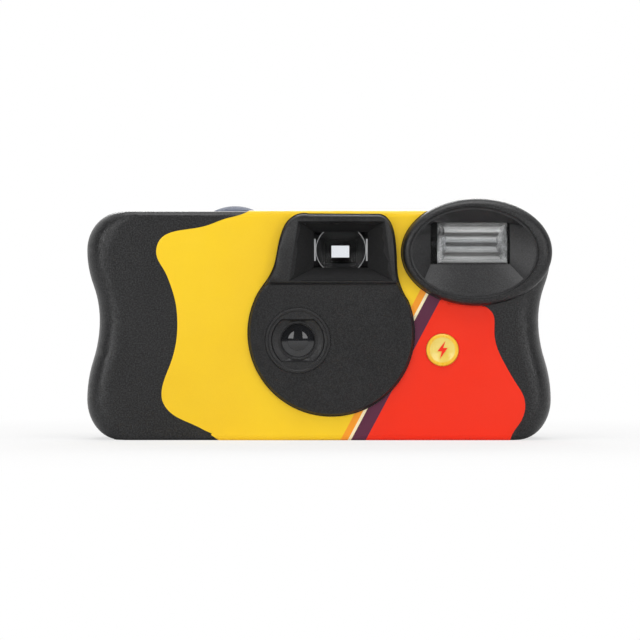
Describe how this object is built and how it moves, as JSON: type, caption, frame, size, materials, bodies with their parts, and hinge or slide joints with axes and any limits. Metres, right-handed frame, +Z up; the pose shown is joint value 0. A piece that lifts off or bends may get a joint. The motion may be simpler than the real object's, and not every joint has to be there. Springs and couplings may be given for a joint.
{
  "type": "disposable film camera",
  "caption": "Slim plastic 35 mm film camera with a waisted body, raised lens panel, finder hood, oval flash hump, wrap label and winding wheel.",
  "frame": {"origin": "middle of the flat underside, on the seam between the covers", "axes": "+X to the right as seen from the front, the front faces -Y, +Z up"},
  "size_m": [0.115, 0.0355, 0.0596],
  "materials": {
    "front_cover": "fine grained black plastic",
    "rear_cover": "fine grained black plastic",
    "film_door": "fine grained black plastic",
    "front_label": "satin printed label in yellow and red",
    "rear_label": "satin printed label in yellow",
    "lens_retainer": "satin black",
    "taking_lens": "clear moulded lens",
    "shutter_button": "satin blue grey",
    "flash_button": "satin yellow with a printed bolt",
    "counter_window": "clear plastic",
    "finder_front_lens": "clear moulded lens",
    "finder_rear_lens": "clear moulded lens",
    "finder_tunnel": "matt black",
    "flash_window": "clear ribbed plastic",
    "main_frame": "matt black",
    "shutter_plate": "matt black",
    "shutter_blade": "blackened steel",
    "blade_spring": "spring steel",
    "thumbwheel": "satin black",
    "cartridge_shell": "printed steel",
    "cartridge_lower_cap": "black steel",
    "cartridge_upper_cap": "black steel",
    "cartridge_spool": "black plastic",
    "supply_spool": "black plastic",
    "film_roll": "film base",
    "film_strip": "film base",
    "sprocket_wheel": "white plastic",
    "metering_cam": "white plastic",
    "counter_wheel": "black dial with white marks",
    "metering_lever": "black plastic",
    "metering_spring": "spring steel",
    "striker_lever": "black plastic",
    "striker_spring": "spring steel",
    "battery_cell": "printed steel jacket",
    "battery_terminal": "plated steel",
    "battery_negative_contact": "plated steel",
    "battery_positive_contact": "plated steel",
    "circuit_board": "green laminate",
    "main_capacitor": "sleeved aluminium can",
    "transformer": "taped winding",
    "trigger_coil": "lacquered winding",
    "transistor": "black moulding",
    "resistors": "lacquered",
    "ready_lamp": "neon lamp",
    "ready_light_pipe": "clear plastic",
    "switch_dome": "spring steel",
    "sync_contacts": "bare brass",
    "flash_reflector": "bright plated",
    "flash_tube": "clear glass",
    "tube_electrodes": "plated steel"
  },
  "bodies": {
    "camera_body": {"front_cover": "front_cover", "rear_cover": "rear_cover", "front_label": "front_label", "rear_label": "rear_label", "lens_retainer": "lens_retainer", "taking_lens": "taking_lens", "counter_window": "counter_window", "finder_front_lens": "finder_front_lens", "finder_rear_lens": "finder_rear_lens", "finder_tunnel": "finder_tunnel", "flash_window": "flash_window", "main_frame": "main_frame", "shutter_plate": "shutter_plate", "blade_spring": "blade_spring", "cartridge_shell": "cartridge_shell", "cartridge_lower_cap": "cartridge_lower_cap", "cartridge_upper_cap": "cartridge_upper_cap", "film_strip": "film_strip", "metering_spring": "metering_spring", "striker_spring": "striker_spring", "battery_cell": "battery_cell", "battery_terminal": "battery_terminal", "battery_negative_contact": "battery_negative_contact", "battery_positive_contact": "battery_positive_contact", "circuit_board": "circuit_board", "main_capacitor": "main_capacitor", "transformer": "transformer", "trigger_coil": "trigger_coil", "transistor": "transistor", "resistors": "resistors", "ready_lamp": "ready_lamp", "ready_light_pipe": "ready_light_pipe", "switch_dome": "switch_dome", "sync_contacts": "sync_contacts", "flash_reflector": "flash_reflector", "flash_tube": "flash_tube", "tube_electrodes": "tube_electrodes"},
    "shutter_button_body": {"shutter_button": "shutter_button"},
    "flash_button_body": {"flash_button": "flash_button"},
    "winding_wheel": {"thumbwheel": "thumbwheel", "cartridge_spool": "cartridge_spool"},
    "sprocket": {"sprocket_wheel": "sprocket_wheel", "metering_cam": "metering_cam"},
    "supply_reel": {"supply_spool": "supply_spool", "film_roll": "film_roll"},
    "counter": {"counter_wheel": "counter_wheel"},
    "metering_rocker": {"metering_lever": "metering_lever"},
    "striker": {"striker_lever": "striker_lever"},
    "blade": {"shutter_blade": "shutter_blade"},
    "door": {"film_door": "film_door"}
  },
  "joints": [
    {"name": "shutter_press", "type": "slide", "parent": "camera_body", "child": "shutter_button_body", "axis": [0, 0, -1], "range_m": [0, 0.0012], "stiffness_N_per_m": 1000, "springref_m": -0.0005},
    {"name": "flash_press", "type": "slide", "parent": "camera_body", "child": "flash_button_body", "axis": [0, 1, 0], "range_m": [0, 0.0005], "stiffness_N_per_m": 1000, "springref_m": -0.0003},
    {"name": "winding_turn", "type": "hinge", "parent": "camera_body", "child": "winding_wheel", "pos_m": [-0.038, 0.0012, 0.05], "axis": [0, 0, 1], "continuous": true},
    {"name": "sprocket_turn", "type": "hinge", "parent": "camera_body", "child": "sprocket", "pos_m": [-0.0165, 0.00395, 0.044], "axis": [0, 0, 1], "continuous": true},
    {"name": "supply_turn", "type": "hinge", "parent": "camera_body", "child": "supply_reel", "pos_m": [0.0415, 0.0018, 0.024], "axis": [0, 0, 1], "continuous": true},
    {"name": "counter_turn", "type": "hinge", "parent": "camera_body", "child": "counter", "pos_m": [-0.0095, 0.0065, 0.052], "axis": [0, 0, 1], "continuous": true},
    {"name": "metering_rock", "type": "hinge", "parent": "camera_body", "child": "metering_rocker", "pos_m": [-0.0209, -0.001, 0.0466], "axis": [1, 0, 0], "range_deg": [0, 14]},
    {"name": "striker_swing", "type": "hinge", "parent": "camera_body", "child": "striker", "pos_m": [-0.0104, -0.003, 0.045], "axis": [0, 0, 1], "range_deg": [0, 22], "stiffness_Nm_per_rad": 0.001, "springref_deg": -5.73},
    {"name": "blade_swing", "type": "hinge", "parent": "camera_body", "child": "blade", "pos_m": [-0.0085, -0.0117, 0.0355], "axis": [0, 1, 0], "range_deg": [0, 22]},
    {"name": "door_swing", "type": "hinge", "parent": "camera_body", "child": "door", "pos_m": [-0.0253, 0.0012, 0], "axis": [0, -1, 0], "range_deg": [0, 100]}
  ],
  "couplings": [
    {"joint": "sprocket_turn", "follows": "winding_turn", "ratio": 0.83},
    {"joint": "supply_turn", "follows": "winding_turn", "ratio": 0.62},
    {"joint": "counter_turn", "follows": "winding_turn", "ratio": -0.02075},
    {"joint": "metering_rock", "follows": "shutter_press", "rad_per_m": 200},
    {"joint": "blade_swing", "follows": "striker_swing", "ratio": 1}
  ]
}
